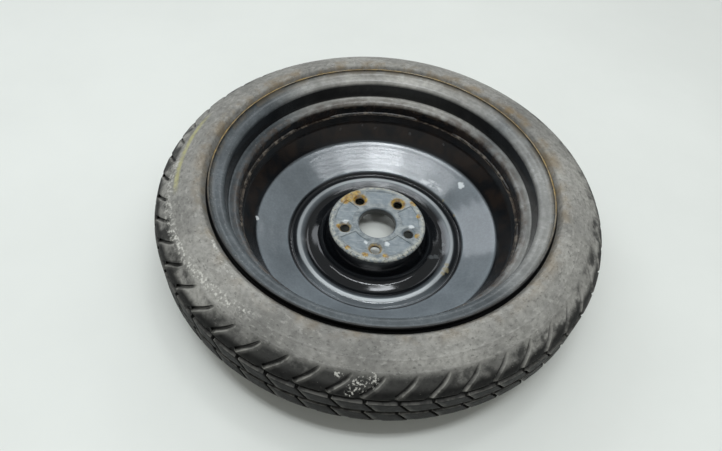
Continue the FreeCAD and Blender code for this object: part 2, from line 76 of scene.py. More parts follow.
def plug(tree, socket, value):
    """Feed a socket from a node, an output or a plain value."""
    if isinstance(value, bpy.types.Node):
        value = next(s for s in value.outputs if s.enabled)
    if isinstance(value, bpy.types.NodeSocket):
        tree.links.new(value, socket)
    else:
        socket.default_value = value


def add(tree, kind, links=(), stops=None, **settings):
    """Add one node: settings are its properties, links feed its inputs from a value, a node or an output."""
    node = tree.nodes.new(f"ShaderNode{kind}")
    for name, value in settings.items():
        setattr(node, name, value)
    for key, value in dict(links).items():
        named = [s for s in node.inputs if s.enabled and s.name == key]
        plug(tree, named[0] if named else node.inputs[key], value)
    if stops:
        elements = node.color_ramp.elements
        while len(elements) < len(stops):
            elements.new(1.0)
        for element, (position, colour) in zip(elements, stops):
            element.position = position
            element.color = colour if isinstance(colour, tuple) else (colour, colour, colour, 1.0)
    return node


def new_material(name):
    """An empty material: its node tree and its shader, ready to be fed."""
    material = bpy.data.materials.new(name)
    material.use_nodes = True
    tree = material.node_tree
    return material, tree, tree.nodes["Principled BSDF"]


def feed(tree, shader, **sockets):
    """Set the shader's sockets, by name with _ for a space, to values or outputs."""
    for name, value in sockets.items():
        plug(tree, shader.inputs[name.replace("_", " ")], value)


def wheel_place(tree):
    """Where a point is on the wheel: its place, distance from the axle, height, and how far up it faces."""
    coordinates = add(tree, "TexCoord")
    place = coordinates.outputs["Object"]
    xyz = add(tree, "SeparateXYZ", {"Vector": place})
    flat = add(tree, "CombineXYZ", {"X": xyz.outputs["X"], "Y": xyz.outputs["Y"]})
    radius = add(tree, "VectorMath", {0: flat}, operation="LENGTH").outputs["Value"]
    facing = add(tree, "SeparateXYZ", {"Vector": coordinates.outputs["Normal"]}).outputs["Z"]
    return place, radius, xyz.outputs["Z"], facing


def rise(tree, value, start, end):
    """0 below start and 1 above end, eased between; start above end turns it round."""
    return add(tree, "MapRange", {"Value": value, "From Min": start, "From Max": end},
               interpolation_type="SMOOTHSTEP")


def times(tree, *values):
    """The product of several masks."""
    result = values[0]
    for value in values[1:]:
        result = add(tree, "Math", {0: result, 1: value}, operation="MULTIPLY")
    return result


def either(tree, *values):
    """The strongest of several masks."""
    result = values[0]
    for value in values[1:]:
        result = add(tree, "Math", {0: result, 1: value}, operation="MAXIMUM")
    return result


def blotches(tree, place, size_mm, low, high, detail=5.0, stretch=(1, 1, 1), turn=0.0):
    """Cloudy patches of about this size, hard or soft by how far low and high lie apart."""
    moved = add(tree, "Mapping", {"Vector": place, "Scale": stretch, "Rotation": (0, 0, turn)})
    cloud = add(tree, "TexNoise", {"Vector": moved, "Scale": per(size_mm), "Detail": detail,
                                   "Roughness": 0.6})
    return rise(tree, cloud.outputs["Fac"], low, high)


def spots(tree, place, marks, ragged_mm):
    """Ragged marks at (radius mm, angle degrees, height mm, size mm) on the wheel."""
    wobble = add(tree, "TexNoise", {"Vector": place, "Scale": per(ragged_mm * 3), "Detail": 4.0})
    shift = add(tree, "VectorMath", {0: wobble.outputs["Color"], 1: (0.5, 0.5, 0.5)}, operation="SUBTRACT")
    spread = (ragged_mm * MM * 4,) * 3
    moved = add(tree, "VectorMath", {0: shift, 1: spread, 2: place}, operation="MULTIPLY_ADD")
    found = []
    for radius, angle, height, size in marks:
        turn = math.radians(angle)
        centre = (radius * MM * math.cos(turn), radius * MM * math.sin(turn), height * MM)
        gap = add(tree, "VectorMath", {0: moved, 1: centre}, operation="DISTANCE")
        found.append(rise(tree, gap.outputs["Value"], size * MM, size * MM * 0.6))
    return either(tree, *found)


def blend(tree, factor, first, second):
    """One colour or the other by a mask."""
    return add(tree, "Mix", {"Factor": factor, "A": first, "B": second}, data_type="RGBA")


def mixed(tree, factor, first, second):
    """One number or the other by a mask."""
    return add(tree, "Mix", {"Factor": factor, "A": first, "B": second}, data_type="FLOAT")


def turn_from_left(tree, place):
    """The angle round the axle in radians, 0 at the wheel's left and rising towards the near side."""
    flipped = add(tree, "VectorMath", {0: place, 1: (-1, -1, 1)}, operation="MULTIPLY")
    xyz = add(tree, "SeparateXYZ", {"Vector": flipped})
    return add(tree, "Math", {0: xyz.outputs["Y"], 1: xyz.outputs["X"]}, operation="ARCTAN2")


def track(tree, angle, radius, first, last, width_mm):
    """A band round the axle from (degrees, radius mm) to (degrees, radius mm), soft at its sides and ends."""
    start = math.radians(first[0])
    end = math.radians(last[0])
    middle = add(tree, "MapRange", {"Value": angle, "From Min": start, "From Max": end,
                                    "To Min": first[1] * MM, "To Max": last[1] * MM})
    gap = add(tree, "Math", {0: radius, 1: middle}, operation="SUBTRACT")
    off = add(tree, "Math", {0: gap}, operation="ABSOLUTE")
    ease = math.radians(3.0)
    return times(tree, rise(tree, off, width_mm * MM, width_mm * MM * 0.2),
                 rise(tree, angle, start - ease, start + ease), rise(tree, angle, end + ease, end - ease))


# Where the marks are, each as (radius mm, angle degrees, height mm, size mm)

LUG_CIRCLE = 50.0
LUG_ANGLES = [56.6 + 72 * k for k in range(5)]
LUG_RUST_SIZES = (14.0, 14.5, 11.0, 11.5, 9.0)
LUG_RUST = [(LUG_CIRCLE, angle, 0, size) for angle, size in zip(LUG_ANGLES, LUG_RUST_SIZES)]
PAD_RUST = [(64, 139, 0, 11), (66, 127, 0, 9), (64, 149, 0, 7), (64, -100, 0, 6), (62, -73, 0, 6),
            (57, -163, 0, 7), (67, -124, 0, 5), (63, -15, 0, 5), (66, 20, 0, 5), (69, 42, 0, 6)]
PAD_BARE = [(48, -172, 0, 5), (51.5, 0, 0, 6), (43, -107, 0, 4.5), (41.5, -65, 0, 5)]
RIDGE_CHIPS = [(133, 41, -29, 3.2), (132, 34, -29, 2.4), (133, 27, -29, 3.0), (120, -23, -32, 6),
               (118, -19, -32, 4), (119, -27, -32, 4)]
CONE_DABS = [(167, 40.7, -11.5, 6.5), (180, -173, -3.5, 4.5)]
WALL_SMUDGES = [(193, 115, 18, 3), (194, 104, 19, 2.5), (191, 97.7, 15, 3), (190, 80, 14, 2.5),
                (192, 62, 17, 2.5)]
DISH_SCUFFS = [(90, -14, -37, 6), (98, -12, -38, 5), (104, -6, -37, 5), (106, 2, -37, 4)]
SHOULDER_CRUST = [(297, -89, 81, 12), (291, -86, 85, 9), (302, -91, 76, 9), (289, -94, 86, 6)]


# Finishes

# Radius in metres at the end of the disc's haze ramp
HAZE_REACH = 0.25
# The waves that the press leaves on the cone, drawn wider than they are so that they show
DRAW_RING_MM = 15.0
# The flare of the dish: where it starts and ends, and how high it rises, in metres
FLARE_START = 0.104
FLARE_END = 0.078
FLARE_RISE = 0.0038
# Mean radius of the sidewall in millimetres
WALL_RADIUS = 270.0
# Rubber's own grain is finer than a pixel, so it is drawn this coarse
RUBBER_GRAIN_MM = 1.2
# Values kept at the tyre's points: how pale an edge is, from wear on the rib edges and as a painted highlight
# on the lit side of each cut, and how deep in a cut, which darkens it as painted shade
WORN_AND_LIT_EDGE = "worn_and_lit_edge"
CUT_DEPTH = "cut_depth"


def enamelled_disc():
    """Dipped black enamel on pressed sheet steel: deep gloss where it is clean, a grey haze of dust on the
    cone and the ridge, a painted highlight along the ridge and a painted reflection on the near side of the
    ledge outside it, worn to grey metal on the pad, with ochre rust round the lug holes."""
    material, tree, shader = new_material("black_enamel_on_pressed_steel")
    place, radius, height, facing = wheel_place(tree)
    up = rise(tree, facing, 0.45, 0.85)
    along_ramp = add(tree, "MapRange", {"Value": radius, "From Max": HAZE_REACH})
    haze_by_radius = add(tree, "ValToRGB", {"Fac": along_ramp}, stops=[
        (0.0, 0.0), (0.43, 0.02), (0.455, 0.6), (0.474, 0.6), (0.490, 0.05), (0.530, 0.04), (0.538, 1.0),
        (0.560, 0.88), (0.690, 0.88), (0.712, 1.0), (0.722, 0.3), (0.745, 0.05)])
    angle = turn_from_left(tree, place)
    nearness = add(tree, "Math", {0: angle}, operation="SINE")
    near = rise(tree, nearness, 0.3, 0.9)
    # Painted reflection: the ledge just outside the ridge is made pale on the near side only.
    near_ledge_reflection = times(tree, rise(tree, radius, 0.119, 0.122), rise(tree, radius, 0.1305, 0.128), near, 0.65)
    cloud = blotches(tree, place, 70, 0.25, 0.75)
    dust = blotches(tree, place, 3.5, 0.35, 0.75)
    ringed = either(tree, haze_by_radius.outputs["Color"], near_ledge_reflection)
    haze_and_sheen = times(tree, ringed, up, mixed(tree, cloud, 0.72, 1.0), mixed(tree, dust, 0.85, 1.0))
    paint = blend(tree, haze_and_sheen, hex_colour("0a0c0f"), hex_colour("848c91"))
    # Painted highlight: a pale band along the ridge, strongest on the near and far sides, over the ridge's
    # dust.
    on_ridge = times(tree, rise(tree, radius, 0.1135, 0.1165), rise(tree, radius, 0.1215, 0.1190), up)
    lightened = either(tree, times(tree, near, 0.9), times(tree, rise(tree, nearness, -0.3, -0.9), 0.8), 0.45)
    paint = blend(tree, times(tree, on_ridge, lightened), paint, hex_colour("c3c8c9"))
    on_pad = times(tree, rise(tree, radius, 0.0735, 0.0712), rise(tree, height, -0.0045, -0.0022))
    worn_cloud = blotches(tree, place, 12, 0.36, 0.66)
    pad_metal = blend(tree, worn_cloud, hex_colour("687074"), hex_colour("959b9b"))
    in_recess = rise(tree, height, -0.0004, -0.0010)
    pad_metal = blend(tree, times(tree, in_recess, 0.55), pad_metal, hex_colour("7b868d"))
    scratches = blotches(tree, place, 14, 0.55, 0.62, stretch=(1, 9, 1), turn=0.7)
    pad_metal = blend(tree, times(tree, scratches, 0.5), pad_metal, hex_colour("a7abaa"))
    paint = blend(tree, on_pad, paint, pad_metal)
    pad_edge = times(tree, rise(tree, radius, 0.0635, 0.0685), rise(tree, radius, 0.0738, 0.0722),
                     rise(tree, height, -0.0045, -0.0015))
    edge_dust = times(tree, pad_edge, blotches(tree, place, 5, 0.40, 0.58), 0.8)
    paint = blend(tree, edge_dust, paint, hex_colour("b7b6a8"))
    edge_dirt = times(tree, pad_edge, blotches(tree, place, 4, 0.56, 0.64), 0.8)
    paint = blend(tree, edge_dirt, paint, hex_colour("4c4a42"))
    hole_rims = spots(tree, place, LUG_RUST, 1.2)
    smear = spots(tree, place, PAD_RUST, 3.0)
    rust_cloud = blotches(tree, place, 6, 0.34, 0.55)
    rust = either(tree, times(tree, hole_rims, mixed(tree, rust_cloud, 0.45, 1.0), on_pad),
                  times(tree, smear, mixed(tree, rust_cloud, 0.3, 0.9), on_pad))
    rust_tone = blend(tree, blotches(tree, place, 5, 0.4, 0.65), hex_colour("866018"), hex_colour("c4a33c"))
    paint = blend(tree, rust, paint, rust_tone)
    bare = spots(tree, place, PAD_BARE, 2.6)
    paint = blend(tree, times(tree, bare, on_pad, 0.7), paint, hex_colour("dfe3e3"))
    chips = spots(tree, place, RIDGE_CHIPS, 1.8)
    paint = blend(tree, times(tree, chips, 0.7), paint, hex_colour("8d8263"))
    dabs = spots(tree, place, CONE_DABS, 2.4)
    scrape = either(tree, track(tree, angle, radius, (-132, 142), (-117, 139), 5),
                    track(tree, angle, radius, (-128, 147), (-122, 145), 3))
    scraped = times(tree, scrape, blotches(tree, place, 11, 0.3, 0.7, detail=2.0), 0.8)
    paint = blend(tree, either(tree, dabs, scraped), paint, hex_colour("d5dadb"))
    smudges = spots(tree, place, WALL_SMUDGES, 2.5)
    paint = blend(tree, times(tree, smudges, 0.25), paint, hex_colour("7d8184"))
    scuff = spots(tree, place, DISH_SCUFFS, 3.0)
    paint = blend(tree, times(tree, scuff, 0.16), paint, hex_colour("9aa0a2"))
    on_wall = rise(tree, radius, 0.180, 0.186)
    skirt_rust = times(tree, on_wall, blotches(tree, place, 26, 0.34, 0.66, stretch=(1, 1, 0.5)), 0.8)
    paint = blend(tree, skirt_rust, paint, hex_colour("2a211b"))
    skirt_wear = mixed(tree, blotches(tree, place, 9, 0.45, 0.62), 0.1, 0.8)
    skirt_edge = times(tree, rise(tree, height, 0.0390, 0.0394), skirt_wear)
    paint = blend(tree, skirt_edge, paint, hex_colour("61574b"))
    dull = either(tree, times(tree, on_pad, 0.95), rust, skirt_edge, times(tree, on_ridge, 0.7))
    gloss = mixed(tree, haze_and_sheen, mixed(tree, on_wall, 0.10, 0.24), mixed(tree, cloud, 0.12, 0.16))
    roughness = mixed(tree, dull, gloss, 0.38)
    peel = add(tree, "TexNoise", {"Vector": place, "Scale": per(16), "Detail": 2.0})
    pits = add(tree, "TexNoise", {"Vector": place, "Scale": per(1.2), "Detail": 4.0})
    rings = add(tree, "Math", {0: radius, 1: 2 * math.pi * per(DRAW_RING_MM)}, operation="MULTIPLY")
    drawn = add(tree, "Math", {0: rings}, operation="SINE")
    on_cone = times(tree, rise(tree, radius, 0.132, 0.140), rise(tree, radius, 0.180, 0.172))
    flare = rise(tree, radius, FLARE_START, FLARE_END)
    flared = add(tree, "Bump", {"Height": flare, "Strength": 1.0, "Distance": FLARE_RISE})
    waves = add(tree, "Bump", {"Height": drawn, "Strength": times(tree, on_cone, 0.5), "Distance": 0.0001,
                               "Normal": flared})
    ripple = add(tree, "Bump", {"Height": peel.outputs["Fac"], "Strength": 0.05, "Distance": 0.001,
                                "Normal": waves})
    pitted = add(tree, "Bump", {"Height": pits.outputs["Fac"], "Strength": times(tree, on_pad, 0.2),
                                "Distance": 0.0004, "Normal": ripple})
    feed(tree, shader, Base_Color=paint, Roughness=roughness, Normal=pitted, IOR=1.5)
    return material


def enamelled_rim():
    """Dipped black enamel on rolled steel: gloss black walls, grey dust on what faces up, made paler on the
    far and right sides as painted light, brown dirt in the well and an ochre rust line along the lip's bare
    edge on the far side."""
    material, tree, shader = new_material("black_enamel_on_rolled_steel")
    place, radius, height, facing = wheel_place(tree)
    angle = turn_from_left(tree, place)
    up = rise(tree, facing, 0.0, 0.6)
    cloud = blotches(tree, place, 50, 0.3, 0.7)
    fine = blotches(tree, place, 7, 0.35, 0.7)
    top_side = rise(tree, height, 0.045, 0.055)
    haze_and_sheen = times(tree, up, top_side, mixed(tree, cloud, 0.6, 1.0), mixed(tree, fine, 0.8, 1.0))
    nearness = add(tree, "Math", {0: angle}, operation="SINE")
    far = rise(tree, nearness, 0.5, -0.2)
    leftness = add(tree, "Math", {0: angle}, operation="COSINE")
    # Painted light: the dust tone is paler on the far side and on the right side.
    on_right = times(tree, rise(tree, leftness, -0.6, -0.95), 0.55)
    lit_sides = either(tree, rise(tree, nearness, -0.5, -0.97), on_right)
    dust = blend(tree, lit_sides, hex_colour("5f6568"), hex_colour("b9b7b0"))
    paint = blend(tree, haze_and_sheen, hex_colour("0a0c0f"), dust)
    grime = times(tree, rise(tree, radius, 0.2085, 0.2015), rise(tree, height, 0.036, 0.041),
                  blotches(tree, place, 22, 0.38, 0.68, stretch=(1, 1, 0.4)))
    paint = blend(tree, times(tree, grime, 0.8), paint, hex_colour("2c2019"))
    ledge_dirt = times(tree, rise(tree, radius, 0.2125, 0.205), rise(tree, height, 0.05, 0.054),
                       blotches(tree, place, 14, 0.42, 0.62))
    paint = blend(tree, times(tree, ledge_dirt, 0.6), paint, hex_colour("4d4238"))
    specks = times(tree, blotches(tree, place, 2.6, 0.62, 0.7), haze_and_sheen)
    paint = blend(tree, times(tree, specks, 0.5), paint, hex_colour("b0b2ae"))
    curl = times(tree, rise(tree, radius, 0.2275, 0.2345), top_side)
    curl_rust = times(tree, curl, blotches(tree, place, 18, 0.36, 0.62), mixed(tree, far, 0.35, 1.0))
    paint = blend(tree, times(tree, curl_rust, 0.55), paint, hex_colour("6b5f4c"))
    lip = times(tree, rise(tree, radius, 0.2343, 0.2352), rise(tree, height, 0.097, 0.099))
    gold = blend(tree, blotches(tree, place, 12, 0.35, 0.65), hex_colour("6e5a33"), hex_colour("a68a4c"))
    edge_tone = blend(tree, times(tree, far, 0.9), hex_colour("22211f"), gold)
    lip_wear = mixed(tree, blotches(tree, place, 25, 0.35, 0.6), 0.5, 1.0)
    paint = blend(tree, times(tree, lip, lip_wear), paint, edge_tone)
    outer_face = times(tree, rise(tree, radius, 0.2362, 0.2367), top_side)
    paint = blend(tree, outer_face, paint, hex_colour("070707"))
    dull = either(tree, times(tree, haze_and_sheen, 0.45), curl_rust, lip, times(tree, grime, 0.6))
    roughness = mixed(tree, outer_face, mixed(tree, dull, mixed(tree, cloud, 0.14, 0.20), 0.42), 0.9)
    peel = add(tree, "TexNoise", {"Vector": place, "Scale": per(14), "Detail": 2.0})
    pits = add(tree, "TexNoise", {"Vector": place, "Scale": per(1.5), "Detail": 4.0})
    ripple = add(tree, "Bump", {"Height": peel.outputs["Fac"], "Strength": 0.05, "Distance": 0.001})
    pitted = add(tree, "Bump", {"Height": pits.outputs["Fac"], "Strength": times(tree, dull, 0.3),
                                "Distance": 0.0004, "Normal": ripple})
    feed(tree, shader, Base_Color=paint, Roughness=roughness, Normal=pitted, IOR=1.5, Specular_IOR_Level=0.35)
    return material


def weathered_tread_rubber():
    """Moulded tyre rubber, aged: matt charcoal in the tread, bleached grey-brown on the sidewall, scuffed
    dark on the shoulder, with a greenish stain, chalky scrapes and dried dirt. The cuts are darkened as
    painted shade, the rib edges and the lit side of each cut are paler from wear and as a painted highlight,
    and a black band at the bead is a painted shadow."""
    material, tree, shader = new_material("moulded_tyre_rubber")
    place, radius, height, facing = wheel_place(tree)
    angle = turn_from_left(tree, place)
    broad = blotches(tree, place, 130, 0.32, 0.68)
    fine = blotches(tree, place, 7, 0.3, 0.72)
    bleach = either(tree, rise(tree, facing, 0.2, 0.7), rise(tree, facing, -0.2, -0.7))
    wall = blend(tree, broad, hex_colour("797873"), hex_colour("a09e97"))
    wall = blend(tree, times(tree, fine, 0.45), wall, hex_colour("53514e"))
    along = add(tree, "Math", {0: angle, 1: WALL_RADIUS * MM}, operation="MULTIPLY")
    round_wall = add(tree, "CombineXYZ", {"X": along, "Y": radius, "Z": height})
    lightened = blotches(tree, round_wall, 4.5, 0.54, 0.68, stretch=(0.55, 1, 1))
    wall = blend(tree, times(tree, lightened, 0.4), wall, hex_colour("b1afa8"))
    grimed = blotches(tree, round_wall, 3.5, 0.55, 0.68, stretch=(0.7, 1, 1))
    wall = blend(tree, times(tree, grimed, 0.5), wall, hex_colour("403f3c"))
    pale = times(tree, blotches(tree, place, 18, 0.45, 0.75), 0.35)
    wall = blend(tree, pale, wall, hex_colour("9b9994"))
    rubber = blend(tree, bleach, hex_colour("30302f"), wall)
    nearness = add(tree, "Math", {0: angle}, operation="SINE")
    near = rise(tree, nearness, 0.72, 0.95)
    patches = mixed(tree, near, blotches(tree, place, 34, 0.44, 0.60), blotches(tree, place, 40, 0.28, 0.50))
    scuffed = times(tree, rise(tree, radius, 0.283, 0.293), patches)
    rubber = blend(tree, times(tree, scuffed, 0.88), rubber, hex_colour("1f1f1e"))
    tread = rise(tree, radius, 0.2975, 0.3050)
    rubber = blend(tree, tread, rubber, blend(tree, fine, hex_colour("10100f"), hex_colour("201f1e")))
    # Painted shade: the cuts and the groove floors are darkened by how deep they lie.
    cut_shade = add(tree, "Attribute", attribute_name=CUT_DEPTH).outputs["Fac"]
    rubber = blend(tree, times(tree, cut_shade, 0.85), rubber, hex_colour("141413"))
    # Partly wear, partly painted highlight: the rib edges and the lit side of each cut are paler.
    worn_and_lit = add(tree, "Attribute", attribute_name=WORN_AND_LIT_EDGE).outputs["Fac"]
    wear = mixed(tree, blotches(tree, place, 12, 0.35, 0.6), 0.2, 0.85)
    rubber = blend(tree, times(tree, worn_and_lit, wear), rubber, hex_colour("94928b"))
    brown = times(tree, rise(tree, radius, 0.266, 0.246), blotches(tree, place, 30, 0.42, 0.66))
    far_side = rise(tree, nearness, 0.1, -0.6)
    rubber = blend(tree, times(tree, brown, mixed(tree, far_side, 0.4, 0.75)), rubber, hex_colour("7d6a4b"))
    # Painted shadow: a black band on the tyre where it meets the rim's lip.
    rubber = blend(tree, rise(tree, radius, 0.2408, 0.2395), rubber, hex_colour("0a0a0a"))
    streak = track(tree, angle, radius, (-16, 281), (14, 278.5), 5)
    stain = times(tree, streak, mixed(tree, blotches(tree, place, 9, 0.36, 0.6), 0.45, 1.0))
    rubber = blend(tree, times(tree, stain, 0.7), rubber, hex_colour("b0ac72"))
    chalk_lines = either(tree, track(tree, angle, radius, (20, 290), (62, 273), 8),
                         track(tree, angle, radius, (35, 245), (51, 252.5), 3.5),
                         times(tree, track(tree, angle, radius, (2, 287), (24, 287), 10), 0.7))
    crust_spots = spots(tree, place, SHOULDER_CRUST, 6.0)
    chalk = either(tree, times(tree, chalk_lines, blotches(tree, place, 4.2, 0.50, 0.60)),
                   times(tree, crust_spots, blotches(tree, place, 3.2, 0.51, 0.60)))
    rubber = blend(tree, times(tree, chalk, 0.8), rubber, hex_colour("cfcdc4"))
    specks = times(tree, blotches(tree, place, 3.5, 0.68, 0.73), bleach)
    rubber = blend(tree, times(tree, specks, 0.45), rubber, hex_colour("aeaca1"))
    grain = add(tree, "TexNoise", {"Vector": place, "Scale": per(RUBBER_GRAIN_MM), "Detail": 5.0})
    swell = add(tree, "TexNoise", {"Vector": place, "Scale": per(14), "Detail": 3.0})
    cracks = add(tree, "TexVoronoi", {"Vector": place, "Scale": per(7)}, feature="DISTANCE_TO_EDGE")
    crazed = rise(tree, cracks.outputs["Distance"], 0.0, 0.06)
    skin = add(tree, "Bump", {"Height": grain.outputs["Fac"], "Strength": 0.4, "Distance": 0.0006})
    uneven = add(tree, "Bump", {"Height": swell.outputs["Fac"], "Strength": 0.3, "Distance": 0.002,
                                "Normal": skin})
    aged = add(tree, "Bump", {"Height": crazed, "Strength": 0.12, "Distance": 0.0005, "Normal": uneven})
    roughness = mixed(tree, fine, 0.5, 0.64)
    feed(tree, shader, Base_Color=rubber, Roughness=roughness, Normal=aged, IOR=1.5, Specular_IOR_Level=0.18)
    return material


def rusted_weld():
    """Arc-weld metal under thin paint: lumpy, tan where the paint has gone, brown-black elsewhere."""
    material, tree, shader = new_material("rusted_arc_weld")
    place = add(tree, "TexCoord").outputs["Object"]
    cloud = blotches(tree, place, 10, 0.46, 0.64)
    tone = blend(tree, cloud, hex_colour("191613"), hex_colour("6d655a"))
    lumps = add(tree, "TexNoise", {"Vector": place, "Scale": per(2.5), "Detail": 4.0})
    rough = add(tree, "Bump", {"Height": lumps.outputs["Fac"], "Strength": 0.4, "Distance": 0.0008})
    feed(tree, shader, Base_Color=tone, Roughness=mixed(tree, cloud, 0.35, 0.65), Normal=rough)
    return material


def small_part(name, dark, light, grain_mm, roughness, metallic=0.0):
    """A small moulded or turned part: two close tones in a fine grain, with a matching bump."""
    material, tree, shader = new_material(name)
    place = add(tree, "TexCoord").outputs["Object"]
    cloud = blotches(tree, place, grain_mm, 0.35, 0.65)
    tone = blend(tree, cloud, hex_colour(dark), hex_colour(light))
    grain = add(tree, "TexNoise", {"Vector": place, "Scale": per(grain_mm / 4), "Detail": 3.0})
    skin = add(tree, "Bump", {"Height": grain.outputs["Fac"], "Strength": 0.15, "Distance": 0.0002})
    feed(tree, shader, Base_Color=tone, Roughness=mixed(tree, cloud, roughness, roughness + 0.12),
         Metallic=metallic, Normal=skin)
    return material


def dress(node, material):
    """Give a CAD node this material in all its slots."""
    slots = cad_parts[node].material_slots
    if not slots:
        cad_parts[node].data.materials.append(material)
    for slot in slots:
        slot.material = material


# Floor, lamps and camera

FLOOR_SIZE = 9.0


def lay_floor():
    """A wide pale floor under the wheel's lowest point."""
    bpy.ops.mesh.primitive_plane_add(size=FLOOR_SIZE, location=(0, 0, cad_low[2]))
    floor = bpy.context.object
    floor.name = "floor"
    material, tree, shader = new_material("painted_floor")
    place = add(tree, "TexCoord").outputs["Object"]
    tone = blend(tree, blotches(tree, place, 500, 0.3, 0.7), hex_colour("dee0da"), hex_colour("e3e5df"))
    feed(tree, shader, Base_Color=tone, Roughness=0.6)
    floor.data.materials.append(material)


def hang_lamp(name, place, aim, width, depth, watts, colour, turn=0.0):
    """A rectangular soft lamp that faces aim, turned about its own axis."""
    data = bpy.data.lights.new(name, "AREA")
    data.shape = "RECTANGLE"
    data.size = width
    data.size_y = depth
    data.energy = watts
    data.color = hex_colour(colour)[:3]
    lamp = bpy.data.objects.new(name, data)
    bpy.context.scene.collection.objects.link(lamp)
    lamp.location = place
    facing = (Vector(aim) - Vector(place)).to_track_quat("-Z", "Y")
    lamp.rotation_euler = (facing @ Quaternion((0, 0, 1), turn)).to_euler()


# Height of the ceiling in metres, and its panels as (x, y, turn, share of the light)
CEILING = 2.3
CEILING_PANELS = [(-1.153, 0.036, -0.62, 0.45), (-0.592, -0.331, -0.42, 0.85), (0.0, -0.451, 0.0, 1.5),
                  (0.592, -0.331, 0.42, 0.9), (1.153, 0.036, 0.62, 0.45)]
PANEL_WIDTH = 0.68
PANEL_WATTS_PER_AREA = 96.0
# The two strips of a panel as (shift, depth) in metres
PANEL_STRIPS = ((-0.085, 0.065), (0.085, 0.055))
PANEL_COLOUR = "f6fbff"
# The other lamps: name, place, aim, width, depth, watts and colour
OTHER_LAMPS = [("panel_over", (0.25, 0.41, CEILING), (0.25, 0.41, 0), 0.44, 0.25, 4.4, PANEL_COLOUR),
               ("window_left", (-3.1, 2.43, 3.08), (0, 0, 0), 2.6, 2.0, 50.0, "f2f8ff"),
               ("wall_far", (0.35, 3.98, 3.0), (0, 0, 0), 4.6, 1.3, 42.0, "f6faff")]
ROOM_STRENGTH = 0.37


def light_scene():
    """Soft room light: an even pale surround, a row of ceiling panels in an arc, a small panel overhead that
    the dish mirrors, a window to the far left and a pale wall on the far side."""
    for number, (place_x, place_y, turn, share) in enumerate(CEILING_PANELS):
        for strip, (shift, depth) in enumerate(PANEL_STRIPS):
            place = (place_x - shift * math.sin(turn), place_y + shift * math.cos(turn), CEILING)
            watts = PANEL_WATTS_PER_AREA * PANEL_WIDTH * depth * share
            hang_lamp(f"ceiling_{number}_{strip}", place, (place[0], place[1], 0), PANEL_WIDTH, depth, watts,
                      PANEL_COLOUR, turn)
    for lamp in OTHER_LAMPS:
        hang_lamp(*lamp)
    world = bpy.data.worlds.new("pale_room")
    world.use_nodes = True
    background = world.node_tree.nodes["Background"]
    background.inputs["Color"].default_value = hex_colour("f6f8f6")
    background.inputs["Strength"].default_value = ROOM_STRENGTH
    bpy.context.scene.world = world


# The camera as fitted to the rim's lip, the bore and the lug holes
IMAGE_WIDTH = 722
FOCAL_PIXELS = 602.137
CAMERA_PLACE = (0.0, -0.576483, 0.695827)
CAMERA_RIGHT = (0.990218, 0.122737, 0.066357)
CAMERA_DOWN = (0.137054, -0.766482, -0.627472)
CAMERA_AHEAD = (-0.026153, 0.630429, -0.775806)


def set_camera():
    """The photograph's view: from the near side, about 50 degrees above the floor and a little rolled."""
    data = bpy.data.cameras.new("camera")
    data.sensor_fit = "HORIZONTAL"
    data.sensor_width = 36.0
    data.lens = FOCAL_PIXELS / IMAGE_WIDTH * data.sensor_width
    data.clip_start = 0.01
    camera = bpy.data.objects.new("camera", data)
    bpy.context.scene.collection.objects.link(camera)
    axes = [Vector(CAMERA_RIGHT), -Vector(CAMERA_DOWN), -Vector(CAMERA_AHEAD)]
    turn = Matrix(axes).transposed().to_4x4()
    camera.matrix_world = Matrix.Translation(CAMERA_PLACE) @ turn
    bpy.context.scene.camera = camera


# The tyre, in millimetres from the axle and from the middle of the rim

RIM_CENTRE = 40.0
PITCHES = 50
PITCH_ANGLE = 2 * math.pi / PITCHES
# Columns of points in one pitch, and how pale the edge is at two of them: the lit side of a cut, partly wear
# and partly a painted highlight
COLUMNS = 10
WORN_AND_LIT_COLUMNS = {4: 1.0, 5: 0.3}
WORN_GROOVE_EDGE = 0.45
TREAD_RADIUS = 310.5
GROOVE_DEPTH = 4.5
GROOVE_FLOOR = TREAD_RADIUS - GROOVE_DEPTH
# The middle groove's half width, the rib's two edges, and the outer groove's floor and edge
MIDDLE_GROOVE = 2.25
RIB_START = 3.5
RIB_END = 21.5
OUTER_GROOVE = (22.75, 27.25)
OUTER_EDGE = 28.6
# How far from the middle the groove floors lie, and the least radius of an edge beside one
GROOVED_REACH = 28
EDGE_RADIUS = 307
# How far a rib's edge is rounded down, and the rows of points across the rib
EDGE_ROUND = 0.25
RIB_ROWS = (RIB_START, 4.3, 8.0, 12.5, 17.0, 20.7, RIB_END)
# How far a rib's cut stays above the groove floor
CUT_STEP = 0.1
# Widths of the cuts, and of the strips of points that run on where there is no cut
RIB_CUT_WIDTH = 4.2
GROOVE_STRIP = 5.0
WALL_STRIP = 6.0
# How far a cut sweeps round the tread from its middle to its end, and how far a slit bows
RIB_SWEEP = 6.0
SLIT_SWEEP = 13.0
SLIT_BOW = 3.5
SLIT_ROOT_RADIUS = 307.8
SLIT_TIP_RADIUS = 288.0
SLIT_STEPS = 9
# A slit's depth at its root and what it loses on the way, and its width at the tip and what the root adds
SLIT_DEPTH = 4.2
SLIT_DEPTH_LOSS = 0.3
SLIT_TIP_WIDTH = 2.0
SLIT_BELLY = 7.2
# How far outside its root a slit's first row of points lies
SLIT_LEAD = 0.35
# A cut's lip, and the strips of points before and after it
LIP_DEPTH = 0.3
STRIP_BEFORE = 0.9
STRIP_AFTER = 1.1
